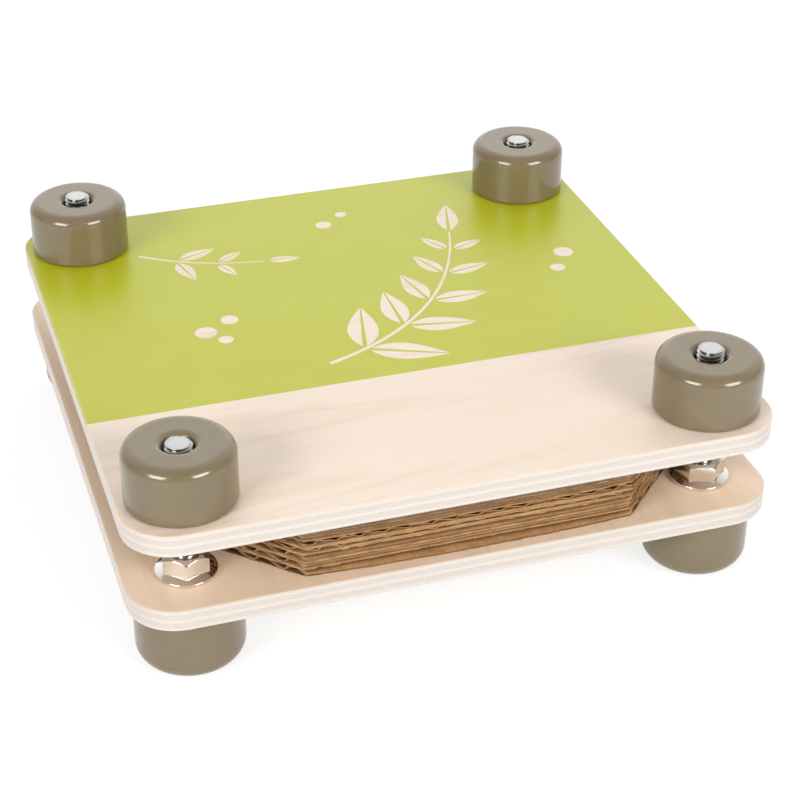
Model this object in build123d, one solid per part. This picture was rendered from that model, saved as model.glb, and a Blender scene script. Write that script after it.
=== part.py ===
from build123d import *
import math
import os

# Flower press: two plywood boards on four bolts, with a stack of corrugated card between them.
# A round knob on each bolt presses the upper board down, and a round foot under each bolt holds its head.
# Millimetres. The origin is on the floor under the middle of the press.
# X runs right along the front edge, Y runs to the back and Z runs up.

# Boards
BOLT_SPACING = 158.0
BOLT_EDGE_DISTANCE = 18.4
BOARD_THICKNESS = 6.8
BOARD_CORNER_RADIUS = 15.0
BOARD_EDGE_ROUNDING = 0.4
LOWER_HOLE_CLEARANCE = 0.25
UPPER_HOLE_CLEARANCE = 0.5

# Feet
FOOT_DIAMETER = 32.0
FOOT_HEIGHT = 21.2
FOOT_BOTTOM_ROUNDING = 5.5
FOOT_TOP_ROUNDING = 1.0
FOOT_HOLE_CLEARANCE = 0.2
HEAD_POCKET_CLEARANCE = 0.1

# Knobs
KNOB_DIAMETER = 32.0
KNOB_HEIGHT = 17.8
KNOB_TOP_ROUNDING = 3.6
KNOB_BOTTOM_ROUNDING = 1.2
KNOB_MOUTH_CLEARANCE = 0.4
KNOB_MOUTH_ROUNDING = 2.4

# Threaded inserts in the knobs
INSERT_BODY_DIAMETER = 12.0
INSERT_LENGTH = 12.0
INSERT_FLANGE_DIAMETER = 15.5
INSERT_FLANGE_THICKNESS = 1.5
INSERT_GLUE_GAP = 0.05

# Hexagon head bolts, M8
BOLT_DIAMETER = 8.0
BOLT_HEAD_ACROSS_FLATS = 13.0
BOLT_HEAD_HEIGHT = 5.3
BOLT_HEAD_SEAT = 10.8
BOLT_TIP_CHAMFER = 0.45
FRONT_LEFT_BEDDING = -0.2
FRONT_RIGHT_BEDDING = 1.85
REAR_LEFT_BEDDING = 1.35
REAR_RIGHT_BEDDING = 0.7
THREAD_CLEARANCE = 0.05

# Flange nuts, M8
NUT_ACROSS_FLATS = 13.0
NUT_HEIGHT = 7.6
NUT_FLANGE_DIAMETER = 17.9
NUT_FLANGE_RIM = 1.1
NUT_FLANGE_SLOPE_DEG = 22.0
HEX_CORNER_BEVEL_DEG = 30.0

# Corrugated card sheets
CARD_THICKNESS = 2.6
CARD_INSET = 4.6
CARD_NUT_CLEARANCE = 2.2
CARD_LINER = 0.35
CARD_FLUTE_PITCH = 7.0
CARD_FLUTE_WALL = 0.35
CARD_FLUTE_CREST = 1.3
CARD_FLUTE_SPREAD = 0.8
CARD_LAY_SHIFT = 0.3

# Corner name: side in X, side in Y, how far the bolt is bedded above its nominal seat, turn of the nut
CORNERS = {
    "front_left": (-1, -1, FRONT_LEFT_BEDDING, -100.0),
    "front_right": (1, -1, FRONT_RIGHT_BEDDING, -79.0),
    "rear_left": (-1, 1, REAR_LEFT_BEDDING, 12.0),
    "rear_right": (1, 1, REAR_RIGHT_BEDDING, 37.0),
}

# Sheet number from the bottom: flute direction, and how many lay shifts it is off centre in X and Y
SHEETS = {
    1: ("x", 5, 1),
    2: ("x", 3, 2),
    3: ("x", 4, 1),
    4: ("y", 3, 2),
    5: ("y", 4, 0),
    6: ("x", 2, 2),
    7: ("x", 4, 1),
}

# Widths that follow from the bolts, and levels from the floor up
BOARD_SIDE = BOLT_SPACING + 2 * BOLT_EDGE_DISTANCE
CARD_SIDE = BOARD_SIDE - 2 * CARD_INSET
LOWER_BOARD_Z = FOOT_HEIGHT
STACK_Z = LOWER_BOARD_Z + BOARD_THICKNESS
UPPER_BOARD_Z = STACK_Z + len(SHEETS) * CARD_THICKNESS
KNOB_Z = UPPER_BOARD_Z + BOARD_THICKNESS
KNOB_TOP_Z = KNOB_Z + KNOB_HEIGHT
BOLT_LENGTH = KNOB_TOP_Z - BOLT_HEAD_SEAT

BOTTOM = (Align.CENTER, Align.CENTER, Align.MIN)


def rod(diameter, low, high):
    """An upright cylinder on the Z axis between two levels."""
    return Pos(0, 0, low) * Cylinder(diameter / 2, high - low, align=BOTTOM)


def hexagon(across_flats, low, high, turn=0.0):
    """An upright hexagonal prism between two levels, with one corner at the turn angle."""
    outline = RegularPolygon(across_flats / 2, 6, major_radius=False, rotation=turn)
    return Pos(0, 0, low) * extrude(outline, high - low)


def circle_edge(part, height_index, radius_index):
    """One circular edge, picked by its level and then by its radius."""
    rings = part.edges().filter_by(GeomType.CIRCLE).group_by(Axis.Z)[height_index]
    return rings.sort_by(SortBy.RADIUS)[radius_index]


def bevelled_hexagon(across_flats, low, high, bevelled_end, turn=0.0):
    """A hexagonal prism with its corners turned down at one end: 0 for the lower, -1 for the upper."""
    corner_width = across_flats / math.cos(math.radians(30))
    overhang = (corner_width - across_flats) / 2
    drop = overhang * math.tan(math.radians(HEX_CORNER_BEVEL_DEG))
    blank = rod(corner_width, low, high)
    side = blank.faces().filter_by(GeomType.CYLINDER)[0]
    blank = chamfer(circle_edge(blank, bevelled_end, -1), drop, overhang, reference=side)
    return hexagon(across_flats, low, high, turn) & blank


def board(low, hole_clearance):
    """A square board with rounded corners, eased edges and a hole for each bolt."""
    outline = RectangleRounded(BOARD_SIDE, BOARD_SIDE, BOARD_CORNER_RADIUS)
    plate = Pos(0, 0, low) * extrude(outline, BOARD_THICKNESS)
    rims = plate.edges().group_by(Axis.Z)
    plate = fillet(rims[0] + rims[-1], BOARD_EDGE_ROUNDING)
    hole = rod(BOLT_DIAMETER + 2 * hole_clearance, low, low + BOARD_THICKNESS)
    return plate - GridLocations(BOLT_SPACING, BOLT_SPACING, 2, 2) * hole


def foot(bedding):
    """A turned foot with a hexagonal pocket for the bolt's head."""
    seat = BOLT_HEAD_SEAT + bedding
    body = rod(FOOT_DIAMETER, 0, FOOT_HEIGHT)
    body = fillet(circle_edge(body, 0, -1), FOOT_BOTTOM_ROUNDING)
    body = fillet(circle_edge(body, -1, -1), FOOT_TOP_ROUNDING)
    body -= rod(BOLT_DIAMETER + 2 * FOOT_HOLE_CLEARANCE, 0, FOOT_HEIGHT)
    return body - hexagon(BOLT_HEAD_ACROSS_FLATS + 2 * HEAD_POCKET_CLEARANCE, 0, seat)


def bolt(bedding):
    """A hexagon head bolt standing on its head, with a bevelled tip."""
    seat = BOLT_HEAD_SEAT + bedding
    shank = rod(BOLT_DIAMETER, seat, seat + BOLT_LENGTH)
    shank = chamfer(circle_edge(shank, -1, -1), BOLT_TIP_CHAMFER)
    return shank + bevelled_hexagon(BOLT_HEAD_ACROSS_FLATS, seat - BOLT_HEAD_HEIGHT, seat, 0)


def flange_nut(turn):
    """A hexagon nut with a sloping round flange, standing on the lower board."""
    top = STACK_Z + NUT_HEIGHT
    rim_top = STACK_Z + NUT_FLANGE_RIM
    flange_width = (NUT_FLANGE_DIAMETER - NUT_ACROSS_FLATS) / 2
    slope_height = flange_width * math.tan(math.radians(NUT_FLANGE_SLOPE_DEG))
    slope = Cone(NUT_FLANGE_DIAMETER / 2, NUT_ACROSS_FLATS / 2, slope_height, align=BOTTOM)
    nut = bevelled_hexagon(NUT_ACROSS_FLATS, STACK_Z, top, -1, turn)
    nut += rod(NUT_FLANGE_DIAMETER, STACK_Z, rim_top) + Pos(0, 0, rim_top) * slope
    return nut - rod(BOLT_DIAMETER + 2 * THREAD_CLEARANCE, STACK_Z, top)


def knob():
    """A round knob, bored for its insert from below and for the bolt's tip from above."""
    body = rod(KNOB_DIAMETER, KNOB_Z, KNOB_TOP_Z)
    body = fillet(circle_edge(body, -1, -1), KNOB_TOP_ROUNDING)
    body = fillet(circle_edge(body, 0, -1), KNOB_BOTTOM_ROUNDING)
    body -= rod(BOLT_DIAMETER + 2 * KNOB_MOUTH_CLEARANCE, KNOB_Z, KNOB_TOP_Z)
    body = fillet(circle_edge(body, -1, 0), KNOB_MOUTH_ROUNDING)
    body -= rod(INSERT_BODY_DIAMETER + 2 * INSERT_GLUE_GAP, KNOB_Z, KNOB_Z + INSERT_LENGTH)
    flange_pocket = INSERT_FLANGE_DIAMETER + 2 * INSERT_GLUE_GAP
    return body - rod(flange_pocket, KNOB_Z, KNOB_Z + INSERT_FLANGE_THICKNESS)


def knob_insert():
    """A flanged threaded sleeve, flush with the knob's underside."""
    sleeve = rod(INSERT_BODY_DIAMETER, KNOB_Z, KNOB_Z + INSERT_LENGTH)
    sleeve += rod(INSERT_FLANGE_DIAMETER, KNOB_Z, KNOB_Z + INSERT_FLANGE_THICKNESS)
    return sleeve - rod(BOLT_DIAMETER + 2 * THREAD_CLEARANCE, KNOB_Z, KNOB_Z + INSERT_LENGTH)


def flute_channels():
    """The hollows of a corrugated sheet in section, under and over the waved middle layer."""
    rise = CARD_THICKNESS - 2 * CARD_LINER - CARD_FLUTE_WALL
    half_crest = CARD_FLUTE_CREST / 2
    half_base = CARD_FLUTE_PITCH / 2 - CARD_FLUTE_SPREAD
    waves = int(CARD_SIDE / CARD_FLUTE_PITCH) - 1
    channels = []
    for step in range(2 * waves + 1):
        middle = (step - waves) * CARD_FLUTE_PITCH / 2
        wall = CARD_LINER if step % 2 == 0 else CARD_THICKNESS - CARD_LINER
        crest = wall + rise if step % 2 == 0 else wall - rise
        channels.append(
            Polygon(
                (middle - half_base, wall),
                (middle + half_base, wall),
                (middle + half_crest, crest),
                (middle - half_crest, crest),
            )
        )
    return channels


def card_sheet(number):
    """One octagonal sheet of corrugated card, its corners cut away from the nuts."""
    flutes, shifts_x, shifts_y = SHEETS[number]
    section = Rectangle(CARD_SIDE, CARD_THICKNESS, align=(Align.CENTER, Align.MIN)) - flute_channels()
    slab = extrude(Plane.XZ * section, CARD_SIDE / 2, both=True)
    nut_room = NUT_FLANGE_DIAMETER / 2 + CARD_NUT_CLEARANCE
    corner_cut = CARD_SIDE - BOLT_SPACING + math.sqrt(2) * nut_room
    outline = chamfer(Rectangle(CARD_SIDE, CARD_SIDE).vertices(), corner_cut)
    sheet = slab & extrude(outline, CARD_THICKNESS)
    if flutes == "x":
        sheet = Rot(0, 0, 90) * sheet
    low = STACK_Z + (number - 1) * CARD_THICKNESS
    return Pos(shifts_x * CARD_LAY_SHIFT, shifts_y * CARD_LAY_SHIFT, low) * sheet


def write(node, part):
    """Write one piece to its own file, under its own name."""
    part.label = node
    export_step(part, f"parts/{node}.step")


os.makedirs("parts", exist_ok=True)

write("lower_board", board(LOWER_BOARD_Z, LOWER_HOLE_CLEARANCE))
write("upper_board", board(UPPER_BOARD_Z, UPPER_HOLE_CLEARANCE))

for corner, (side_x, side_y, bedding, nut_turn) in CORNERS.items():
    place = Pos(side_x * BOLT_SPACING / 2, side_y * BOLT_SPACING / 2, 0)
    write(f"foot_{corner}", place * foot(bedding))
    write(f"bolt_{corner}", place * bolt(bedding))
    write(f"flange_nut_{corner}", place * flange_nut(nut_turn))
    write(f"knob_{corner}", place * knob())
    write(f"knob_insert_{corner}", place * knob_insert())

for number in SHEETS:
    write(f"card_sheet_{number}", card_sheet(number))
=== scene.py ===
import math
from collections import namedtuple

import bmesh
import bpy
from mathutils import Matrix, Vector, noise


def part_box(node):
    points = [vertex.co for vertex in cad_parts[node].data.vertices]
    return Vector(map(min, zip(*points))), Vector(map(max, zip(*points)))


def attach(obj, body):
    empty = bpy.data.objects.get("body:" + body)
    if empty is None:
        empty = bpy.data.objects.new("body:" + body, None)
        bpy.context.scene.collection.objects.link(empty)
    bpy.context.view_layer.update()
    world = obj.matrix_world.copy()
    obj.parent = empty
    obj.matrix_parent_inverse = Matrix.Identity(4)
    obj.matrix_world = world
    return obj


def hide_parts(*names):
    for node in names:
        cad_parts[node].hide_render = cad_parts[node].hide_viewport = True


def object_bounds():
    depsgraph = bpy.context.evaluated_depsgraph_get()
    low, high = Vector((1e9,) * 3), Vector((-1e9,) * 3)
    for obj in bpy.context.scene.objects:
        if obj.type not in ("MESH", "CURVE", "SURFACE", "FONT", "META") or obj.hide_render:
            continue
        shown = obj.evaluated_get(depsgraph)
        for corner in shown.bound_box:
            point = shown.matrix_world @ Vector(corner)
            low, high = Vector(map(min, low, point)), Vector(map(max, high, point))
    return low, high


# A small flower press: painted knobs and feet, birch plywood boards, steel bolts and corrugated card.
# Metres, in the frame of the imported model: X right along the front edge, Y to the back, Z up.

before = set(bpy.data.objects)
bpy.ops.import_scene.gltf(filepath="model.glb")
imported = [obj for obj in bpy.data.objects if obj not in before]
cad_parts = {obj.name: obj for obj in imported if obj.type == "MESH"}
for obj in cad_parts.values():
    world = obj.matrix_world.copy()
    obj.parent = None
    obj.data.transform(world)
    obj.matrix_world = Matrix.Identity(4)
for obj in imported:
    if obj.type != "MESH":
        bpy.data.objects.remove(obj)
cad_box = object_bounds()

MM = 0.001
# Points within TOUCH lie on the same edge or face, and points within MERGE become one
TOUCH = 0.01 * MM
MERGE = TOUCH / 10
CORNERS = ("front_left", "front_right", "rear_left", "rear_right")
SHEET_COUNT = sum(name.startswith("card_sheet_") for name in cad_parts)

# Bolts: M8 thread over the whole shank
THREAD_PITCH = 1.25 * MM
THREAD_RADIUS = 4.0 * MM
THREAD_ROOT_RADIUS = 3.32 * MM
THREAD_ROOT_FLAT = 0.30 * MM
THREAD_CREST_FLAT = 0.18 * MM
THREAD_SIDES = 56
THREAD_SPARE_TURNS = 2
BOLT_HEAD_ACROSS_FLATS = 13.0 * MM
BOLT_HEAD_HEIGHT = 5.3 * MM
BOLT_HEAD_EASING = 0.25 * MM
BOLT_TIP_CHAMFER = 0.45 * MM
BOLT_AXIS = abs(sum(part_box("bolt_front_left"), Vector()).x / 2)

# Flange nuts
NUT_ACROSS_FLATS = 13.0 * MM
NUT_FLANGE_RADIUS = 8.95 * MM
NUT_FLANGE_RIM = 1.1 * MM
NUT_FLANGE_SLOPE = math.radians(22)
NUT_CORNER_BEVEL = math.radians(45)
NUT_TOP_RADIUS = 6.0 * MM
NUT_BORE_RADIUS = 4.05 * MM
NUT_EDGE_EASING = 0.33 * MM
NUT_SIDES = 96
# How far each nut is turned on its bolt, in degrees
NUT_TURN = {"front_left": -100, "front_right": -79, "rear_left": 12, "rear_right": 37}

# Corrugated card
CARD_LINER = 0.34 * MM
CARD_MIDDLE = 0.28 * MM
CARD_AIR = 0.02 * MM
CARD_CUT = 43.37 * MM
FLUTE_PITCH = 7.0 * MM
FLUTE_STEPS = 20
FLUTE_ROWS = 24
LINER_EDGE_CUTS = 79
LINER_RIM = 0.7 * MM
CARD_LIP = 0.25 * MM
LIP_LEAN = 0.3
LINER_LOOPS = (CARD_LIP, LINER_RIM - CARD_LIP, 2.2 * MM, 10.0 * MM)
EDGE_REACH = sum(LINER_LOOPS)
EDGE_BLEND = 4.0 * MM
# How far inside the card the painted shade of its hollows grows to its full darkness
HOLLOW_SHADE_DEPTH = 1.2 * MM
# How pale the cut edges are, from bare card to raw torn fibres
FLUTE_PALENESS = 0.12
LOWER_PALENESS = 0.10
CORNER_PALENESS = 0.12
# How much of a sheet's crush reaches each kind of edge
EDGE_CRUSH = {"front": 1.0, "side": 0.6, "corner": 0.1}
# Unevenness of the crush, of the turned-up lip and of the frayed rim: its share or depth, and its length
CRUSH_UNEVENNESS = 0.4
CRUSH_LENGTH = 25 * MM
LIP_UNEVENNESS = 0.15
LIP_LENGTH = 6 * MM
FRAY_DEPTH = 0.30 * MM
FRAY_LENGTH = 2.3 * MM
FRAY_SETBACK = 0.6
# How far apart the sheets lie in the noise, so that no two of them fray alike
SHEET_SPACING = 40 * MM
# How far the waves lean over, and how steep they are, for flutes that run along X or along Y
FLUTE_SHAPE = {"x": (-0.5, 1.9), "y": (0.75, 1.05)}
# A sheet's flute direction, the phase of its flutes, the share of its thickness crushed at the cut edges,
# how far its lower facing turns up and bows out at the front, how pale its upper edge is, its kind of card
SheetMake = namedtuple("SheetMake", "flutes phase crush curl bow paleness tone")
SHEET_MAKE = {
    1: SheetMake("x", -0.9, 0.06, 0.0 * MM, 1.6 * MM, 0.15, "brown"),
    2: SheetMake("x", -0.5, 0.19, 0.4 * MM, 0.1 * MM, 0.20, "tan"),
    3: SheetMake("x", -0.7, 0.04, 0.5 * MM, 0.1 * MM, 0.20, "brown"),
    4: SheetMake("y", 0.50, 0.17, 0.80 * MM, 0.1 * MM, 0.95, "tan"),
    5: SheetMake("y", 2.15, 0.13, 0.95 * MM, 0.1 * MM, 0.20, "brown"),
    6: SheetMake("x", -0.6, 0.27, 0.2 * MM, 0.1 * MM, 0.15, "grey"),
    7: SheetMake("x", -0.8, 0.27, 0.2 * MM, 0.1 * MM, 0.15, "grey"),
}

# Printed ink on the upper board
LIME = (0.470, 0.490, 0.009, 1.0)
BOARD_CORNER_RADIUS = 15.0 * MM
INK_FRONT = -34.3 * MM
INK_MARGIN = 0.42 * MM
INK_CORNER_RADIUS = BOARD_CORNER_RADIUS - INK_MARGIN
INK_THICKNESS = 0.03 * MM
INK_KNOB_CLEARING = 15.1 * MM
LEAF_STEPS = 12
LEAF_GAP = 1.7 * MM
TIP_LEAF_GAP = 1.2 * MM
STEM_STEPS = 24


# Modelling helpers

def deselect_all():
    """Leaves edit mode and drops the selection, so that an operator meets only what it is meant for."""
    if bpy.context.object and bpy.context.object.mode != "OBJECT":
        bpy.ops.object.mode_set(mode="OBJECT")
    bpy.ops.object.select_all(action="DESELECT")


def take(piece):
    """Makes a piece the only one selected, and the active one."""
    deselect_all()
    piece.select_set(True)
    bpy.context.view_layer.objects.active = piece


def open_mesh(piece, action="SELECT"):
    """Opens a piece for modelling with all or none of it selected."""
    take(piece)
    bpy.ops.object.mode_set(mode="EDIT")
    bpy.ops.mesh.select_all(action=action)


def close_mesh():
    bpy.ops.object.mode_set(mode="OBJECT")


def pick_faces(piece, test):
    """In an open mesh, selects the faces that pass a test."""
    bpy.ops.mesh.select_mode(type="FACE")
    bpy.ops.mesh.select_all(action="DESELECT")
    mesh = bmesh.from_edit_mesh(piece.data)
    for face in mesh.faces:
        face.select_set(test(face))
    mesh.select_flush_mode()
    bmesh.update_edit_mesh(piece.data)


def finish_with(piece, kind, **settings):
    """Adds a modifier and applies it."""
    take(piece)
    modifier = piece.modifiers.new(kind.title(), kind)
    for name, value in settings.items():
        setattr(modifier, name, value)
    bpy.ops.object.modifier_apply(modifier=modifier.name)


def combine(piece, other, operation):
    """Unites two closed pieces, cuts one by the other or keeps what they share, and drops the other."""
    finish_with(piece, "BOOLEAN", operation=operation, object=other, solver="EXACT")
    bpy.data.objects.remove(other)


def join(pieces, name):
    """Joins pieces into one object, each keeping its own closed shell."""
    take(pieces[0])
    for piece in pieces:
        piece.select_set(True)
    bpy.ops.object.join()
    pieces[0].name = name
    pieces[0].data.name = name
    return pieces[0]


def smooth(piece, angle):
    """Shades smooth across gentle edges and keeps the sharper ones."""
    take(piece)
    bpy.ops.object.shade_smooth_by_angle(angle=math.radians(angle))


def round_blank(name, sides, radius, low, high):
    """An upright blank with a round or many-sided outline, its first corner on the X axis."""
    deselect_all()
    middle = (0, 0, (low + high) / 2)
    bpy.ops.mesh.primitive_cylinder_add(
        vertices=sides, radius=radius, depth=high - low, location=middle, rotation=(0, 0, math.pi / 2))
    bpy.ops.object.transform_apply(location=True, rotation=True, scale=True)
    blank = bpy.context.object
    blank.name = name
    return blank


def draw_out_top(piece, level, old_radius, new_radius, rise):
    """Draws the top face of a round blank up and in, which leaves a sloping shoulder."""
    open_mesh(piece, "DESELECT")
    pick_faces(piece, lambda face: face.normal.z > 0.9 and face.calc_center_median().z > level - TOUCH)
    bpy.ops.mesh.extrude_region_move(TRANSFORM_OT_translate={"value": (0, 0, rise)})
    share = new_radius / old_radius
    bpy.ops.transform.resize(value=(share, share, 1), center_override=(0, 0, level + rise))
    close_mesh()


def copy_in_place(source, name, shift, turn=0.0):
    """A copy with a mesh of its own, turned about Z and moved, its object left at the origin."""
    piece = source.copy()
    piece.data = source.data.copy()
    piece.name = name
    piece.data.name = name
    bpy.context.scene.collection.objects.link(piece)
    piece.data.transform(Matrix.Translation(shift) @ Matrix.Rotation(turn, 4, "Z"))
    return piece


def dress(piece, material, slot, body, *nodes):
    """Gives a finished piece its material and the body that carries it, and hides the nodes it replaces.
    The slot argument is not used.
    """
    piece.data.materials.clear()
    piece.data.materials.append(material)
    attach(piece, body)
    if nodes:
        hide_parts(*nodes)


def box_middle(node):
    low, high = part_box(node)
    return (low + high) / 2


def box_seat(node):
    """The point at the middle of a node's underside."""
    seat = box_middle(node)
    seat.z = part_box(node)[0].z
    return seat


# Shader helpers

def plug(tree, node, inputs):
    """Sets a shader node's inputs. An input is a plain value, or the socket that feeds it."""
    for name, value in inputs.items():
        if isinstance(value, bpy.types.NodeSocket):
            tree.links.new(value, node.inputs[name])
        else:
            node.inputs[name].default_value = value


def shader(tree, kind, inputs=None, **settings):
    """Adds a shader node with its settings and inputs."""
    node = tree.nodes.new("ShaderNode" + kind)
    for name, value in settings.items():
        setattr(node, name, value)
    plug(tree, node, inputs or {})
    return node


def calculate(tree, operation, first, second=0.0):
    return shader(tree, "Math", {0: first, 1: second}, operation=operation).outputs[0]


def spread(tree, value, low, high, to_low=0.0, to_high=1.0):
    """Maps a range of values onto another one, clamped at both ends."""
    limits = {"Value": value, "From Min": low, "From Max": high, "To Min": to_low, "To Max": to_high}
    return shader(tree, "MapRange", limits).outputs["Result"]


def mix(tree, share, first, second):
    """Mixes two colours."""
    node = shader(tree, "Mix", {0: share, 6: first, 7: second}, data_type="RGBA")
    return node.outputs[2]


def ramp(tree, value, stops):
    """A colour ramp through (position, colour) stops."""
    node = shader(tree, "ValToRGB", {"Fac": value})
    elements = node.color_ramp.elements
    while len(elements) < len(stops):
        elements.new(1.0)
    for element, (position, colour) in zip(elements, stops):
        element.position = position
        element.color = colour
    return node.outputs["Color"]


def band(tree, value, start, full, fade, end):
    """A mask that rises from start to full and falls from fade to end."""
    return ramp(tree, value, [(start, grey(0)), (full, grey(1)), (fade, grey(1)), (end, grey(0))])


def noise_field(tree, vector, scale, detail, roughness=0.5, distortion=0.0):
    """Noise on stretched coordinates. The scale counts features per metre along X, Y and Z."""
    stretched = shader(tree, "Mapping", {"Vector": vector, "Scale": scale}).outputs["Vector"]
    settings = {"Vector": stretched, "Scale": 1.0, "Detail": detail, "Roughness": roughness}
    settings["Distortion"] = distortion
    return shader(tree, "TexNoise", settings).outputs["Fac"]


def colour(red, green, blue):
    return (red, green, blue, 1.0)


def grey(level):
    return (level, level, level, 1.0)


def new_group(name, inputs, outputs):
    """A shader node group with named sockets. Returns the group, its entry and its exit."""
    group = bpy.data.node_groups.new(name, "ShaderNodeTree")
    for socket, kind in inputs:
        group.interface.new_socket(socket, in_out="INPUT", socket_type=kind)
    for socket in outputs:
        group.interface.new_socket(socket, in_out="OUTPUT", socket_type="NodeSocketFloat")
    return group, group.nodes.new("NodeGroupInput"), group.nodes.new("NodeGroupOutput")


def use_group(tree, group, inputs):
    node = tree.nodes.new("ShaderNodeGroup")
    node.node_tree = group
    plug(tree, node, inputs)
    return node.outputs


def new_material(name, **plain):
    """A material with one Principled shader. Values that are the same all over go on its sockets."""
    material = bpy.data.materials.new(name)
    material.use_nodes = True
    tree = material.node_tree
    surface = tree.nodes["Principled BSDF"]
    for socket, value in plain.items():
        surface.inputs[socket.replace("_", " ")].default_value = value
    place = shader(tree, "TexCoord").outputs["Object"]
    return material, tree, surface, place


def feed(tree, surface, base, roughness, height, depth, strength=1.0):
    """Joins colour, roughness and relief to a Principled shader. Depth is the relief's height."""
    tree.links.new(base, surface.inputs["Base Color"])
    tree.links.new(roughness, surface.inputs["Roughness"])
    bump = shader(tree, "Bump", {"Height": height, "Distance": depth, "Strength": strength})
    tree.links.new(bump.outputs["Normal"], surface.inputs["Normal"])


# Shared effects

def make_wood_grain():
    """Wood fibres along the vector's X: hair-fine streaks, slow growth lines and short flecks."""
    group, entry, leave = new_group(
        "wood grain", [("Vector", "NodeSocketVector")], ["Streaks", "Growth", "Flecks"])
    vector = entry.outputs["Vector"]
    streaks = noise_field(group, vector, (22, 1250, 1250), 5.0, 0.62)
    growth = noise_field(group, vector, (6.5, 64, 64), 3.0, 0.45, 0.9)
    lines = calculate(group, "PINGPONG", calculate(group, "MULTIPLY", growth, 7.0), 1.0)
    flecks = spread(group, noise_field(group, vector, (210, 2900, 900), 2.0), 0.62, 0.74)
    for name, value in (("Streaks", streaks), ("Growth", lines), ("Flecks", flecks)):
        group.links.new(value, leave.inputs[name])
    return group


def make_surface_grain():
    """Unevenness of a coated or plated surface: fine grain, slow clouds and handling marks."""
    group, entry, leave = new_group(
        "surface grain",
        [("Vector", "NodeSocketVector"), ("Grain Size", "NodeSocketFloat")],
        ["Grain", "Clouds", "Marks"])
    vector = entry.outputs["Vector"]
    per_metre = calculate(group, "DIVIDE", 1.0, entry.outputs["Grain Size"])
    fine = {"Vector": vector, "Scale": per_metre, "Detail": 2.0}
    grain = shader(group, "TexNoise", fine).outputs["Fac"]
    clouds = noise_field(group, vector, (90, 90, 90), 3.0, 0.5)
    marks = spread(group, noise_field(group, vector, (420, 300, 360), 5.0, 0.7, 0.8), 0.52, 0.78)
    for name, value in (("Grain", grain), ("Clouds", clouds), ("Marks", marks)):
        group.links.new(value, leave.inputs[name])
    return group


WOOD_GRAIN = make_wood_grain()
SURFACE_GRAIN = make_surface_grain()


# Materials

def plywood(name, node, turn, pale, mid, deep, arris, printed=False):
    """Sanded birch plywood: faces with grain turned to an angle, and plies in stripes round the edge."""
    low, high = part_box(node)
    material, tree, surface, place = new_material(name, Specular_IOR_Level=0.5)
    along = shader(tree, "Mapping", {"Vector": place, "Rotation": (0, 0, turn)}).outputs["Vector"]
    grain = use_group(tree, WOOD_GRAIN, {"Vector": along})
    warmth = noise_field(tree, along, (9, 26, 26), 2.0)
    face = mix(tree, spread(tree, grain["Streaks"], 0.34, 0.70), pale, mid)
    face = mix(tree, spread(tree, grain["Growth"], 0.50, 1.0, 0.0, 0.48), face, deep)
    face = mix(tree, spread(tree, warmth, 0.42, 0.70, 0.0, 0.65), face, mid)
    face = mix(tree, spread(tree, grain["Flecks"], 0.0, 1.0, 0.0, 0.40), face, deep)

    axes = shader(tree, "SeparateXYZ", {0: place}).outputs
    level = spread(tree, axes["Z"], low.z, high.z)
    long_ply = colour(0.705, 0.65, 0.60)
    cross_ply = colour(0.645, 0.58, 0.52)
    glue = colour(0.575, 0.495, 0.42)
    plies = 5
    glue_half = 0.018
    wave_height = 0.014
    stops = []
    for ply in range(plies):
        tone = long_ply if ply % 2 == 0 else cross_ply
        stops.append((ply / plies + glue_half, tone))
        stops.append(((ply + 1) / plies - glue_half, tone))
        if ply < plies - 1:
            stops.append(((ply + 1) / plies, glue))
    wander = noise_field(tree, place, (160, 160, 60), 2.0)
    wavy_level = calculate(tree, "ADD", level, spread(tree, wander, 0.3, 0.7, -wave_height, wave_height))
    stripes = ramp(tree, wavy_level, stops)
    pores = noise_field(tree, place, (900, 900, 700), 4.0, 0.65)
    edge = mix(tree, spread(tree, pores, 0.50, 0.80, 0.0, 0.40), stripes, glue)
    base = mix(tree, band(tree, level, 0.015, 0.035, 0.955, 0.98), face, edge)
    base = mix(tree, band(tree, level, 0.915, 0.945, 0.985, 1.0), base, arris)
    if printed:
        behind = spread(tree, axes["Y"], INK_FRONT - TOUCH, INK_FRONT + TOUCH)
        inked = calculate(tree, "MULTIPLY", behind, band(tree, level, 0.915, 0.945, 0.997, 0.9995))
        base = mix(tree, inked, base, LIME)
    roughness = spread(tree, grain["Streaks"], 0.3, 0.7, 0.38, 0.48)
    relief = calculate(tree, "ADD", grain["Streaks"], calculate(tree, "MULTIPLY", grain["Flecks"], -0.6))
    feed(tree, surface, base, roughness, relief, 0.05 * MM, 0.5)
    return material


def green_ink():
    """Flat lime-green print that lets a little of the wood's grain through."""
    material, tree, surface, place = new_material("lime green ink", Specular_IOR_Level=0.5)
    grain = use_group(tree, WOOD_GRAIN, {"Vector": place})
    film = use_group(tree, SURFACE_GRAIN, {"Vector": place, "Grain Size": 0.5 * MM})
    deep_lime = colour(0.445, 0.467, 0.006)
    pale_lime = colour(0.490, 0.507, 0.018)
    base = mix(tree, spread(tree, grain["Streaks"], 0.38, 0.72, 0.2, 0.7), LIME, deep_lime)
    base = mix(tree, spread(tree, film["Clouds"], 0.45, 0.75, 0.0, 0.5), base, pale_lime)
    base = mix(tree, spread(tree, film["Grain"], 0.60, 0.80, 0.0, 0.25), base, pale_lime)
    roughness = spread(tree, film["Grain"], 0.3, 0.7, 0.29, 0.36)
    feed(tree, surface, base, roughness, grain["Streaks"], 0.03 * MM, 0.2)
    return material


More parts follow.
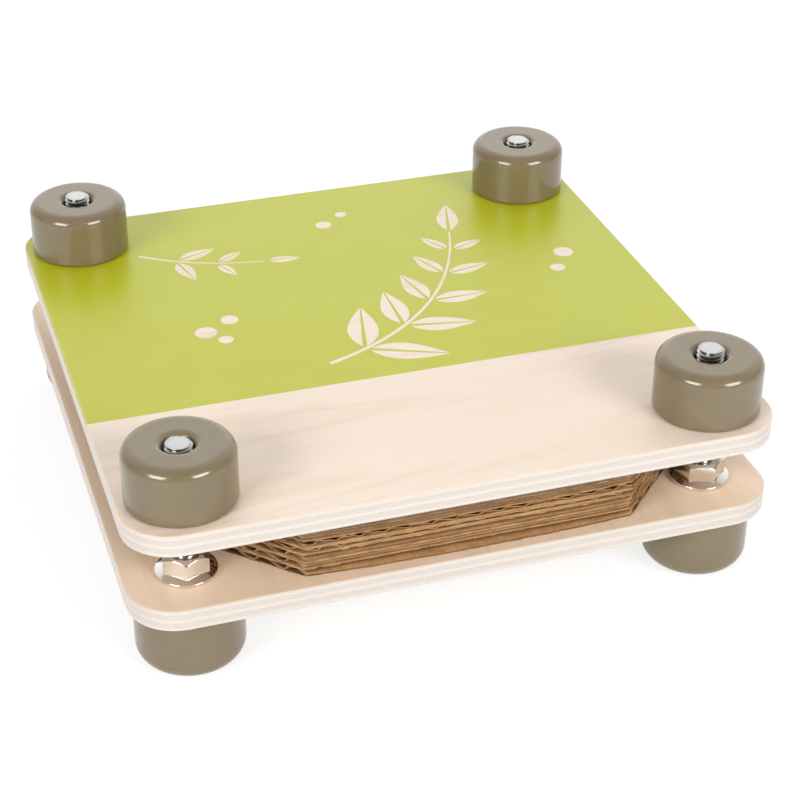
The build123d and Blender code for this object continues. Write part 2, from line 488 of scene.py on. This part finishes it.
def taupe_paint():
    """Thick glossy paint on turned wood, with a trace of orange peel."""
    material, tree, surface, place = new_material("glossy taupe paint", Specular_IOR_Level=0.7)
    film = use_group(tree, SURFACE_GRAIN, {"Vector": place, "Grain Size": 1.3 * MM})
    taupe = colour(0.203, 0.156, 0.087)
    deep_taupe = colour(0.188, 0.143, 0.078)
    pale_taupe = colour(0.222, 0.173, 0.101)
    base = mix(tree, spread(tree, film["Clouds"], 0.35, 0.70), deep_taupe, taupe)
    base = mix(tree, spread(tree, film["Marks"], 0.0, 1.0, 0.0, 0.22), base, pale_taupe)
    roughness = spread(tree, film["Marks"], 0.0, 1.0, 0.17, 0.25)
    feed(tree, surface, base, roughness, film["Grain"], 0.03 * MM, 0.25)
    return material


def bolt_distance(tree, place):
    """Distance from the nearest bolt's axis. The bolts stand alike about the middle of the press."""
    axes = shader(tree, "SeparateXYZ", {0: place}).outputs
    squares = []
    for name in "XY":
        offset = calculate(tree, "SUBTRACT", calculate(tree, "ABSOLUTE", axes[name]), BOLT_AXIS)
        squares.append(calculate(tree, "MULTIPLY", offset, offset))
    return calculate(tree, "SQRT", calculate(tree, "ADD", *squares))


def zinc_steel(name, bright, dull, smoothest, roughest):
    """Zinc-plated steel with lathe rings on the end faces, and painted shade that darkens the thread
    towards its roots.
    """
    material, tree, surface, place = new_material(name, Metallic=1.0)
    film = use_group(tree, SURFACE_GRAIN, {"Vector": place, "Grain Size": 0.35 * MM})
    distance = bolt_distance(tree, place)
    # Painted shade: the thread darkens from its crests into its roots, while the end faces inside the roots
    # stay bright
    lit_share = spread(tree, distance, THREAD_ROOT_RADIUS, THREAD_RADIUS, 0.35, 1.0)
    inside = spread(tree, distance, 0.8 * THREAD_ROOT_RADIUS, 0.9 * THREAD_ROOT_RADIUS, 1.0, 0.0)
    base = mix(tree, calculate(tree, "MAXIMUM", lit_share, inside), dull, bright)
    base = mix(tree, spread(tree, film["Clouds"], 0.4, 0.7, 0.0, 0.45), base, dull)
    ring_pitch = 0.22 * MM
    rings = calculate(tree, "SINE", calculate(tree, "MULTIPLY", distance, 2 * math.pi / ring_pitch))
    relief = calculate(tree, "ADD", calculate(tree, "MULTIPLY", rings, 0.35), film["Grain"])
    roughness = spread(tree, film["Marks"], 0.0, 1.0, smoothest, roughest)
    feed(tree, surface, base, roughness, relief, 0.012 * MM, 0.5)
    return material


def nickel_plate():
    """Bright nickel plate with faint handling marks."""
    material, tree, surface, place = new_material("bright nickel plate", Metallic=1.0)
    film = use_group(tree, SURFACE_GRAIN, {"Vector": place, "Grain Size": 0.6 * MM})
    bright = colour(0.80, 0.765, 0.715)
    dull = colour(0.66, 0.62, 0.57)
    base = mix(tree, spread(tree, film["Clouds"], 0.42, 0.75, 0.0, 0.8), bright, dull)
    roughness = spread(tree, film["Marks"], 0.0, 1.0, 0.12, 0.24)
    feed(tree, surface, base, roughness, film["Grain"], 0.01 * MM, 0.35)
    return material


def kraft_card(name, pale, mid, deep):
    """Brown kraft card: pressed fibres, pale and dark flecks, raw cut edges, and painted shade that darkens
    the hollows deep inside the card.
    """
    material, tree, surface, place = new_material(name, Specular_IOR_Level=0.0)
    pale_fleck = colour(0.66, 0.50, 0.33)
    dark_fleck = colour(0.10, 0.055, 0.025)
    raw_fibre = colour(0.64, 0.53, 0.41)
    # The painted shade deep in the card's hollows
    deep_shade = colour(0.06, 0.033, 0.015)
    across = noise_field(tree, place, (260, 1900, 1900), 4.0, 0.65)
    along = noise_field(tree, place, (1700, 240, 1500), 4.0, 0.65)
    fibres = calculate(tree, "MULTIPLY", calculate(tree, "ADD", across, along), 0.5)
    blotches = noise_field(tree, place, (130, 130, 520), 3.0, 0.6)
    base = mix(tree, spread(tree, fibres, 0.38, 0.64), deep, mid)
    base = mix(tree, spread(tree, blotches, 0.45, 0.72, 0.0, 0.55), base, pale)
    specks = noise_field(tree, place, (1400, 1400, 1400), 2.0)
    base = mix(tree, spread(tree, specks, 0.68, 0.76, 0.0, 0.6), base, pale_fleck)
    base = mix(tree, spread(tree, specks, 0.32, 0.24, 0.0, 0.5), base, dark_fleck)
    cut = shader(tree, "Attribute", attribute_name="cut_edge").outputs["Fac"]
    frayed = calculate(tree, "MULTIPLY", cut, spread(tree, fibres, 0.40, 0.58, 0.4, 1.0))
    base = mix(tree, frayed, base, raw_fibre)
    # Painted shade: the flutes and the liners' inner faces darken with their depth inside the card
    hollow_shade = shader(tree, "Attribute", attribute_name="hollow_shade").outputs["Fac"]
    base = mix(tree, spread(tree, hollow_shade, 0.0, 1.0, 0.0, 0.9), base, deep_shade)
    roughness = spread(tree, fibres, 0.35, 0.65, 0.80, 0.95)
    feed(tree, surface, base, roughness, fibres, 0.16 * MM, 0.8)
    return material


# Bolts

def draw_line(name, points):
    """A piece that is only a line of edges through the given points."""
    deselect_all()
    bpy.ops.mesh.primitive_plane_add(size=MM)
    line = bpy.context.object
    line.name = name
    open_mesh(line)
    bpy.ops.mesh.merge(type="CENTER")
    bpy.ops.transform.translate(value=points[0])
    for last, point in zip(points, points[1:]):
        bpy.ops.mesh.extrude_region_move(TRANSFORM_OT_translate={"value": point - last})
    close_mesh()
    return line


def model_bolt():
    """A hexagon head bolt standing on its head at the origin, its thread wound up the whole shank."""
    low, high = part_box("bolt_front_left")
    tip = high.z - low.z
    thread_start = BOLT_HEAD_HEIGHT - BOLT_HEAD_EASING
    flank = (THREAD_PITCH - THREAD_ROOT_FLAT - THREAD_CREST_FLAT) / 2
    outline = [
        Vector((THREAD_ROOT_RADIUS, 0, 0)),
        Vector((THREAD_ROOT_RADIUS, 0, THREAD_ROOT_FLAT)),
        Vector((THREAD_RADIUS, 0, THREAD_ROOT_FLAT + flank)),
        Vector((THREAD_RADIUS, 0, THREAD_ROOT_FLAT + flank + THREAD_CREST_FLAT)),
        Vector((THREAD_ROOT_RADIUS, 0, THREAD_PITCH)),
    ]
    first_turn = Vector((0, 0, thread_start - THREAD_SPARE_TURNS * THREAD_PITCH))
    shank = draw_line("shank", [point + first_turn for point in outline])
    turns = math.ceil((tip - thread_start) / THREAD_PITCH) + 2 * THREAD_SPARE_TURNS
    finish_with(
        shank, "SCREW", axis="Z", screw_offset=THREAD_PITCH, iterations=turns,
        steps=THREAD_SIDES, render_steps=THREAD_SIDES)
    open_mesh(shank)
    bpy.ops.mesh.remove_doubles(threshold=MERGE)
    for level, direction in ((thread_start, -1), (tip, 1)):
        bpy.ops.mesh.select_all(action="SELECT")
        bpy.ops.mesh.bisect(
            plane_co=(0, 0, level), plane_no=(0, 0, direction), use_fill=True, clear_outer=True,
            threshold=MERGE)
    bpy.ops.mesh.select_all(action="SELECT")
    bpy.ops.mesh.normals_make_consistent(inside=False)
    close_mesh()
    for vertex in shank.data.vertices:
        widest = THREAD_RADIUS - max(0.0, vertex.co.z - (tip - BOLT_TIP_CHAMFER))
        radius = vertex.co.xy.length
        if radius > widest:
            vertex.co.xy *= widest / radius

    head = round_blank("head", 6, BOLT_HEAD_ACROSS_FLATS / math.sqrt(3), 0, BOLT_HEAD_HEIGHT)
    open_mesh(head)
    bpy.ops.mesh.bevel(offset=BOLT_HEAD_EASING, segments=3, affect="EDGES")
    close_mesh()
    bolt = join([shank, head], "bolt")
    smooth(bolt, 32)
    return bolt


def place_bolts(steel):
    bolt = model_bolt()
    for corner in CORNERS:
        node = f"bolt_{corner}"
        piece = copy_in_place(bolt, f"threaded_bolt_{corner}", box_seat(node))
        dress(piece, steel, "bolt_steel", "base", node)
    bpy.data.objects.remove(bolt)


# Flange nuts

def model_nut():
    """A hexagon flange nut standing at the origin, all its edges eased."""
    low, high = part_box("flange_nut_front_left")
    height = high.z - low.z
    flat_radius = NUT_ACROSS_FLATS / 2
    corner_radius = NUT_ACROSS_FLATS / math.sqrt(3)
    drop = (corner_radius - NUT_TOP_RADIUS) * math.tan(NUT_CORNER_BEVEL)
    rise = (NUT_FLANGE_RADIUS - flat_radius) * math.tan(NUT_FLANGE_SLOPE)

    nut = round_blank("nut", 6, corner_radius, 0, height)
    turned_top = round_blank("turned_top", NUT_SIDES, corner_radius, 0, height - drop)
    draw_out_top(turned_top, height - drop, corner_radius, NUT_TOP_RADIUS, drop)
    combine(nut, turned_top, "INTERSECT")
    flange = round_blank("flange", NUT_SIDES, NUT_FLANGE_RADIUS, 0, NUT_FLANGE_RIM)
    draw_out_top(flange, NUT_FLANGE_RIM, NUT_FLANGE_RADIUS, flat_radius, rise)
    combine(nut, flange, "UNION")
    bore = round_blank("bore", NUT_SIDES, NUT_BORE_RADIUS, -height, 2 * height)
    combine(nut, bore, "DIFFERENCE")
    open_mesh(nut)
    bpy.ops.mesh.remove_doubles(threshold=TOUCH)
    bpy.ops.mesh.dissolve_limited(angle_limit=math.radians(0.5))
    close_mesh()
    finish_with(
        nut, "BEVEL", width=NUT_EDGE_EASING, segments=4, limit_method="ANGLE",
        angle_limit=math.radians(18), miter_outer="MITER_ARC")
    smooth(nut, 34)
    return nut


def place_nuts(nickel):
    nut = model_nut()
    for corner, turn in NUT_TURN.items():
        node = f"flange_nut_{corner}"
        piece = copy_in_place(nut, f"eased_nut_{corner}", box_seat(node), math.radians(turn))
        dress(piece, nickel, "nickel_plate", "base", node)
    bpy.data.objects.remove(nut)


# Corrugated card

def cut_edges(x, y, half):
    """How far a point of a sheet lies from its nearest cut edge, and how near it is to each kind."""
    gaps = {
        "front": half - abs(y),
        "side": half - abs(x),
        "corner": (2 * half - CARD_CUT - abs(x) - abs(y)) / math.sqrt(2),
    }
    return min(gaps.values()), {kind: math.exp(-gap / EDGE_BLEND) for kind, gap in gaps.items()}


def trim_corners(sheet, half):
    """Cuts the four corners off an open flat sheet."""
    reach = half - CARD_CUT / 2
    for side_x in (-1, 1):
        for side_y in (-1, 1):
            open_mesh(sheet)
            bpy.ops.mesh.bisect(
                plane_co=(side_x * reach, side_y * reach, 0), plane_no=(side_x, side_y, 0),
                clear_outer=True, threshold=MERGE)
    close_mesh()


def score_edges(sheet, half, depth):
    """Adds a line of points across an open flat sheet, at a depth behind each of its eight cut edges."""
    for eighth in range(8):
        angle = eighth * math.pi / 4
        outward = Vector((math.cos(angle), math.sin(angle), 0))
        reach = half if eighth % 2 == 0 else (2 * half - CARD_CUT) / math.sqrt(2)
        open_mesh(sheet)
        bpy.ops.mesh.bisect(plane_co=outward * (reach - depth), plane_no=outward, threshold=MERGE)
    close_mesh()


def paint_hollow_shade(layer, half, vertices):
    """Marks how deep inside a sheet the given points of a layer lie, for the painted shade in the card's
    hollows.
    """
    hollow_shade = layer.data.attributes.new("hollow_shade", "FLOAT", "POINT")
    for vertex in vertices:
        depth = cut_edges(vertex.co.x, vertex.co.y, half)[0] / HOLLOW_SHADE_DEPTH
        hollow_shade.data[vertex.index].value = max(0.0, min(1.0, depth))


def press_edges(layer, number, half, level, paleness):
    """Thins a layer towards its cut edges, lets it sag with those below, turns up its lip, frays it."""
    make = SHEET_MAKE[number]
    sag = 2 * level * sum(SHEET_MAKE[lower].crush for lower in range(1, number))
    pale_edge = layer.data.attributes.new("cut_edge", "FLOAT", "POINT")
    front_end = half - CARD_CUT
    for vertex in layer.data.vertices:
        x, y, z = vertex.co
        distance, weights = cut_edges(x, y, half)
        total = sum(weights.values())
        share = sum(EDGE_CRUSH[kind] * weight for kind, weight in weights.items()) / total
        spot = Vector((x, y, 0))
        own_spot = Vector((x, y, number * SHEET_SPACING))
        uneven = 1 + CRUSH_UNEVENNESS * noise.noise(spot / CRUSH_LENGTH)
        pressed = share * uneven * max(0.0, 1 - distance / EDGE_REACH)
        lip = max(0.0, 1 - distance / CARD_LIP) * (level - z) / (2 * level)
        wavy = 1 + LIP_UNEVENNESS * noise.noise(own_spot / LIP_LENGTH)
        turned_up = make.curl * lip * weights["front"] / total * wavy
        vertex.co.z = z - pressed * (sag + make.crush * (z + level)) + turned_up
        if y < 0:
            vertex.co.y += LIP_LEAN * turned_up - make.bow * lip * max(0.0, 1 - (x / front_end) ** 2)
        if distance < TOUCH:
            vertex.co.xy *= 1 + FRAY_DEPTH * (noise.noise(own_spot / FRAY_LENGTH) - FRAY_SETBACK) / half
        pale = paleness + CORNER_PALENESS * weights["corner"] / total
        pale_edge.data[vertex.index].value = min(1.0, pale) * max(0.0, 1 - distance / LINER_RIM)


def model_liner(number, half, level, side):
    """The upper or lower facing of a card sheet, its rim divided finely enough to bend and fray."""
    deselect_all()
    bpy.ops.mesh.primitive_plane_add(size=2 * half, location=(0, 0, 0))
    liner = bpy.context.object
    trim_corners(liner, half)
    open_mesh(liner)
    bpy.ops.mesh.delete(type="ONLY_FACE")
    bpy.ops.mesh.select_all(action="SELECT")
    bpy.ops.mesh.subdivide(number_cuts=LINER_EDGE_CUTS)
    bpy.ops.mesh.edge_face_add()
    reach = half
    for width in LINER_LOOPS:
        share = (reach - width) / reach
        bpy.ops.mesh.inset(thickness=MERGE)
        bpy.ops.transform.resize(value=(share, share, 1), center_override=(0, 0, 0))
        reach -= width
    bpy.ops.mesh.select_all(action="SELECT")
    bpy.ops.transform.translate(value=(0, 0, side * level))
    close_mesh()
    paleness = SHEET_MAKE[number].paleness if side > 0 else LOWER_PALENESS
    press_edges(liner, number, half, level, paleness)
    finish_with(liner, "SOLIDIFY", thickness=CARD_LINER, offset=-side)
    points = liner.data.vertices
    count = len(points) // 2
    pairs = [(points[index], points[index + count]) for index in range(count)]
    # The painted shade of the hollows goes on the liner's inner face
    paint_hollow_shade(liner, half, [min(pair, key=lambda point: side * point.co.z) for pair in pairs])
    return liner


def model_flutes(number, half, level):
    """The waved middle layer of a card sheet, its waves leaning over to one side like a saw's teeth."""
    make = SHEET_MAKE[number]
    rise = level - CARD_LINER - CARD_MIDDLE / 2
    waves = math.ceil(2 * half / FLUTE_PITCH)
    deselect_all()
    bpy.ops.mesh.primitive_grid_add(
        x_subdivisions=waves * FLUTE_STEPS, y_subdivisions=FLUTE_ROWS, size=2 * half)
    flutes = bpy.context.object
    lean, steepness = FLUTE_SHAPE[make.flutes]
    for vertex in flutes.data.vertices:
        turn = 2 * math.pi * (vertex.co.x + half) / FLUTE_PITCH + make.phase
        wave = steepness * math.sin(turn + lean * math.sin(turn))
        vertex.co.z = rise * max(-1.0, min(1.0, wave))
    if make.flutes == "x":
        flutes.data.transform(Matrix.Rotation(math.pi / 2, 4, "Z"))
    trim_corners(flutes, half)
    # A line of points at the depth where the painted shade of the hollows is full
    score_edges(flutes, half, HOLLOW_SHADE_DEPTH)
    press_edges(flutes, number, half, level, FLUTE_PALENESS)
    finish_with(flutes, "SOLIDIFY", thickness=CARD_MIDDLE, offset=0.0)
    # Painted shade deep inside the flutes
    paint_hollow_shade(flutes, half, flutes.data.vertices)
    return flutes


def place_card(cards):
    for number in range(1, SHEET_COUNT + 1):
        node = f"card_sheet_{number}"
        low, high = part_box(node)
        half = (high.x - low.x) / 2
        level = (high.z - low.z) / 2 - CARD_AIR
        layers = [model_liner(number, half, level, side) for side in (1, -1)]
        layers.append(model_flutes(number, half, level))
        sheet = join(layers, f"fluted_card_{number}")
        open_mesh(sheet)
        bpy.ops.mesh.normals_make_consistent(inside=False)
        close_mesh()
        sheet.data.transform(Matrix.Translation(box_middle(node)))
        smooth(sheet, 40)
        dress(sheet, cards[SHEET_MAKE[number].tone], "corrugated_card", f"sheet_{number}", node)


# Printed ink

def arc(middle_x, middle_y, radius, start, end, steps):
    """Points along an arc, angles in degrees."""
    angles = [math.radians(start + (end - start) * step / steps) for step in range(steps + 1)]
    return [(middle_x + radius * math.cos(turn), middle_y + radius * math.sin(turn)) for turn in angles]


def circle(middle_x, middle_y, radius, points):
    """Evenly spaced points round a circle."""
    return arc(middle_x, middle_y, radius, 0, 360 - 360 / points, points - 1)


def curve_point(ends, share):
    """A point and a direction on a bow through a start, a pull point and an end."""
    (start_x, start_y), (pull_x, pull_y), (end_x, end_y) = ends
    rest = 1 - share
    x = rest * rest * start_x + 2 * rest * share * pull_x + share * share * end_x
    y = rest * rest * start_y + 2 * rest * share * pull_y + share * share * end_y
    along_x = rest * (pull_x - start_x) + share * (end_x - pull_x)
    along_y = rest * (pull_y - start_y) + share * (end_y - pull_y)
    return x, y, math.atan2(along_y, along_x)


def leaf(x, y, heading, gap, length, width):
    """The two halves of a pointed leaf, a gap away from its stem, with a rib of ink between them."""
    rib_root = 0.030 * length
    rib_tip = 0.008 * length
    along_x, along_y = math.cos(heading), math.sin(heading)
    root_x, root_y = x + gap * along_x, y + gap * along_y
    halves = []
    for side in (-1, 1):
        outline = []
        for step in range(LEAF_STEPS + 1):
            share = step / LEAF_STEPS
            rib = rib_root + (rib_tip - rib_root) * share
            bulge = width / 2 * math.sin(math.pi * share ** 0.85) * (1 - 0.25 * share)
            outline.append((share * length, side * (rib + bulge)))
        for share in (0.75, 0.5, 0.25):
            outline.append((share * length, side * (rib_root + (rib_tip - rib_root) * share)))
        halves.append([
            (root_x + px * along_x - py * along_y, root_y + px * along_y + py * along_x)
            for px, py in outline])
    return halves


def stem(ends, root_width, tip_width):
    """A tapering band along a bow."""
    left, right = [], []
    for step in range(STEM_STEPS + 1):
        share = step / STEM_STEPS
        x, y, heading = curve_point(ends, share)
        half = (root_width + (tip_width - root_width) * share) / 2
        left.append((x - half * math.sin(heading), y + half * math.cos(heading)))
        right.append((x + half * math.sin(heading), y - half * math.cos(heading)))
    return left + right[::-1]


def sprig(ends, shares, longest, shortest, spread_angle, root_width=1.5 * MM):
    """A stem with pairs of leaves that shorten towards the tip, and one leaf at the end."""
    outlines = [stem(ends, root_width, 0.45 * root_width)]
    for index, share in enumerate(shares):
        x, y, heading = curve_point(ends, share)
        length = longest + (shortest - longest) * index / (len(shares) - 1)
        for side in (-1, 1):
            outwards = heading + side * math.radians(spread_angle)
            outlines += leaf(x, y, outwards, LEAF_GAP, length, 0.40 * length)
    x, y, heading = curve_point(ends, 1.0)
    outlines += leaf(x, y, heading, TIP_LEAF_GAP, longest * 0.8, longest * 0.30)
    return outlines


def print_motifs():
    """Outlines left bare in the print: a long leafy sprig, a short one and a few berries."""
    long_sprig = ((-20 * MM, -22 * MM), (28 * MM, -6 * MM), (44 * MM, 52 * MM))
    short_sprig = ((-62 * MM, 66 * MM), (-44 * MM, 52 * MM), (-22 * MM, 50 * MM))
    outlines = sprig(long_sprig, (0.14, 0.34, 0.53, 0.72, 0.88), 25 * MM, 12 * MM, 50)
    outlines += sprig(short_sprig, (0.30, 0.62), 14 * MM, 10 * MM, 48, 1.2 * MM)
    berries = (
        (-52, 8, 3.6), (-43, 14, 2.9), (-47, 2, 2.4),
        (76, 26, 3.4), (70, 16, 2.6),
        (4, 70, 2.8), (12, 76, 2.1))
    for x, y, radius in berries:
        outlines.append(circle(x * MM, y * MM, radius * MM, 24))
    return outlines


def place_ink(ink):
    """A thin film of ink on the rear of the upper board, without the motifs and the knobs' seats."""
    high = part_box("upper_board")[1]
    side = high.x - INK_MARGIN
    back = high.y - INK_MARGIN
    turn_x, turn_y = side - INK_CORNER_RADIUS, back - INK_CORNER_RADIUS
    rim = [(-side, INK_FRONT), (side, INK_FRONT)]
    rim += arc(turn_x, turn_y, INK_CORNER_RADIUS, 0, 90, 16)
    rim += arc(-turn_x, turn_y, INK_CORNER_RADIUS, 90, 180, 16)
    outlines = [rim] + print_motifs()
    for corner in ("rear_left", "rear_right"):
        seat = box_middle(f"knob_{corner}")
        outlines.append(circle(seat.x, seat.y, INK_KNOB_CLEARING, 60))

    deselect_all()
    drawing = bpy.data.curves.new("printed_ink", "CURVE")
    drawing.dimensions = "2D"
    drawing.fill_mode = "BOTH"
    drawing.extrude = INK_THICKNESS / 2
    for outline in outlines:
        spline = drawing.splines.new("POLY")
        spline.points.add(len(outline) - 1)
        for point, (x, y) in zip(spline.points, outline):
            point.co = (x, y, 0, 1)
        spline.use_cyclic_u = True
    film = bpy.data.objects.new("printed_ink", drawing)
    bpy.context.scene.collection.objects.link(film)
    take(film)
    bpy.ops.object.convert(target="MESH")
    film = bpy.context.object
    film.data.transform(Matrix.Translation((0, 0, high.z + INK_THICKNESS / 2)))
    open_mesh(film)
    bpy.ops.mesh.remove_doubles(threshold=MERGE)
    bpy.ops.mesh.normals_make_consistent(inside=False)
    close_mesh()
    dress(film, ink, "printed_plywood", "pressing_board")


# The press

def paint_node(node, material):
    """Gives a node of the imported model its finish."""
    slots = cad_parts[node].data.materials
    slots.clear()
    slots.append(material)


paint_node("upper_board", plywood(
    "upper birch plywood", "upper_board", turn=math.radians(-5),
    pale=colour(0.845, 0.71, 0.605), mid=colour(0.81, 0.665, 0.54), deep=colour(0.73, 0.55, 0.37),
    arris=colour(0.74, 0.60, 0.465), printed=True))
paint_node("lower_board", plywood(
    "lower birch plywood", "lower_board", turn=math.pi / 2,
    pale=colour(0.83, 0.665, 0.505), mid=colour(0.79, 0.61, 0.45), deep=colour(0.69, 0.51, 0.34),
    arris=colour(0.64, 0.545, 0.445)))
paint = taupe_paint()
insert_steel = zinc_steel(
    "insert steel", bright=colour(0.62, 0.59, 0.53), dull=colour(0.36, 0.34, 0.30),
    smoothest=0.28, roughest=0.42)
bolt_steel = zinc_steel(
    "bolt steel", bright=colour(0.46, 0.465, 0.47), dull=colour(0.37, 0.365, 0.36),
    smoothest=0.18, roughest=0.34)
for corner in CORNERS:
    paint_node(f"knob_{corner}", paint)
    paint_node(f"foot_{corner}", paint)
    paint_node(f"knob_insert_{corner}", insert_steel)
place_bolts(bolt_steel)
place_nuts(nickel_plate())
place_card({
    "grey": kraft_card(
        "grey kraft card", pale=colour(0.51, 0.345, 0.215), mid=colour(0.38, 0.245, 0.135),
        deep=colour(0.24, 0.14, 0.07)),
    "tan": kraft_card(
        "tan kraft card", pale=colour(0.67, 0.435, 0.235), mid=colour(0.505, 0.295, 0.145),
        deep=colour(0.315, 0.175, 0.078)),
    "brown": kraft_card(
        "brown kraft card", pale=colour(0.63, 0.375, 0.172), mid=colour(0.475, 0.25, 0.097),
        deep=colour(0.29, 0.145, 0.054)),
})
place_ink(green_ink())


# Floor, light and camera

FLOOR_SIZE = 12.0
FLOOR_DROP = 0.05 * MM
# The floor's grey as it lights the press, and its shaded part and glow as it is seen
FLOOR_GREY = 0.80
FLOOR_SHADED = 0.32
FLOOR_GLOW = 0.76
# The room is brightest in one direction. Its light fades with the turn away from there, from 1 to 0, to
# the level given for each stop
ROOM_STRENGTH = 1.7
BACK_AZIMUTH = 73
BACK_ELEVATION = 20
ROOM_FADE = ((0.32, 0.15), (0.67, 0.20), (0.92, 0.70), (1.0, 1.0))
SOFTBOX_DISTANCE = 2.5
# A softbox's place round the press in degrees, its size in metres and its power
Softbox = namedtuple("Softbox", "azimuth elevation width height power")
SOFTBOXES = {
    "left softbox": Softbox(-146, 27, 1.2, 0.85, 37.5),
    "right softbox": Softbox(-62, 27, 1.2, 0.85, 37.5),
}
CAMERA_PLACE = Vector((-158.37, -518.80, 355.80)) * MM
CAMERA_AZIMUTH = math.radians(-17.934)
CAMERA_ELEVATION = math.radians(31.511)
CAMERA_ROLL = math.radians(0.165)
CAMERA_SENSOR_MM = 36.0
CAMERA_LENS_MM = 87.81


def bearing(azimuth, elevation):
    """A unit vector. Azimuth is counted from +X towards +Y, both in degrees."""
    across, up = math.radians(azimuth), math.radians(elevation)
    return Vector((math.cos(across) * math.cos(up), math.sin(across) * math.cos(up), math.sin(up)))


def place_floor():
    """A plain white floor that keeps the soft shadow of the press."""
    deselect_all()
    bpy.ops.mesh.primitive_plane_add(size=FLOOR_SIZE, location=(0, 0, cad_box[0].z - FLOOR_DROP))
    bpy.ops.object.transform_apply(location=True, rotation=True, scale=True)
    floor = bpy.context.object
    floor.name = "floor"
    material = bpy.data.materials.new("white floor")
    material.use_nodes = True
    tree = material.node_tree
    tree.nodes.clear()
    path = shader(tree, "LightPath").outputs
    seen = calculate(tree, "MAXIMUM", path["Is Camera Ray"], path["Is Glossy Ray"])
    seen = calculate(tree, "MAXIMUM", seen, path["Is Transmission Ray"])
    plain = shader(tree, "BsdfDiffuse", {"Color": grey(FLOOR_GREY)})
    shade = shader(tree, "BsdfDiffuse", {"Color": grey(FLOOR_SHADED)})
    glow = shader(tree, "Emission", {"Color": grey(1.0), "Strength": FLOOR_GLOW})
    white = shader(tree, "AddShader", {0: shade.outputs[0], 1: glow.outputs[0]})
    both = shader(tree, "MixShader", {0: seen, 1: plain.outputs[0], 2: white.outputs[0]})
    out = shader(tree, "OutputMaterial", {"Surface": both.outputs[0]})
    out.is_active_output = True
    floor.data.materials.append(material)


def place_world():
    """Soft white room light that comes mostly from behind the press and fades towards the front."""
    world = bpy.data.worlds.new("studio")
    bpy.context.scene.world = world
    world.use_nodes = True
    tree = world.node_tree
    tree.nodes.clear()
    direction = shader(tree, "TexCoord").outputs["Generated"]
    behind = {0: direction, 1: bearing(BACK_AZIMUTH, BACK_ELEVATION)}
    facing = shader(tree, "VectorMath", behind, operation="DOT_PRODUCT").outputs["Value"]
    share = spread(tree, facing, -1.0, 1.0)
    light = ramp(tree, share, [(position, grey(level)) for position, level in ROOM_FADE])
    room = shader(tree, "Background", {"Color": light, "Strength": ROOM_STRENGTH})
    shader(tree, "OutputWorld", {"Surface": room.outputs[0]})


def place_softbox(name, box):
    """A softbox that faces the press."""
    towards = bearing(box.azimuth, box.elevation)
    lamp = bpy.data.lights.new(name, "AREA")
    lamp.shape = "RECTANGLE"
    lamp.size = box.width
    lamp.size_y = box.height
    lamp.energy = box.power
    softbox = bpy.data.objects.new(name, lamp)
    softbox.location = towards * SOFTBOX_DISTANCE
    softbox.rotation_euler = towards.to_track_quat("Z", "Y").to_euler()
    bpy.context.scene.collection.objects.link(softbox)


def place_camera():
    """The photograph's camera: long lens, from the front left and above."""
    lens = bpy.data.cameras.new("camera")
    lens.sensor_width = CAMERA_SENSOR_MM
    lens.lens = CAMERA_LENS_MM
    camera = bpy.data.objects.new("camera", lens)
    swing = Matrix.Rotation(CAMERA_AZIMUTH, 4, "Z")
    tilt = Matrix.Rotation(math.pi / 2 - CAMERA_ELEVATION, 4, "X")
    roll = Matrix.Rotation(CAMERA_ROLL, 4, "Z")
    camera.matrix_world = Matrix.Translation(CAMERA_PLACE) @ swing @ tilt @ roll
    bpy.context.scene.collection.objects.link(camera)
    bpy.context.scene.camera = camera


place_floor()
place_world()
for name, box in SOFTBOXES.items():
    place_softbox(name, box)
place_camera()
bpy.context.scene.view_settings.view_transform = "Standard"
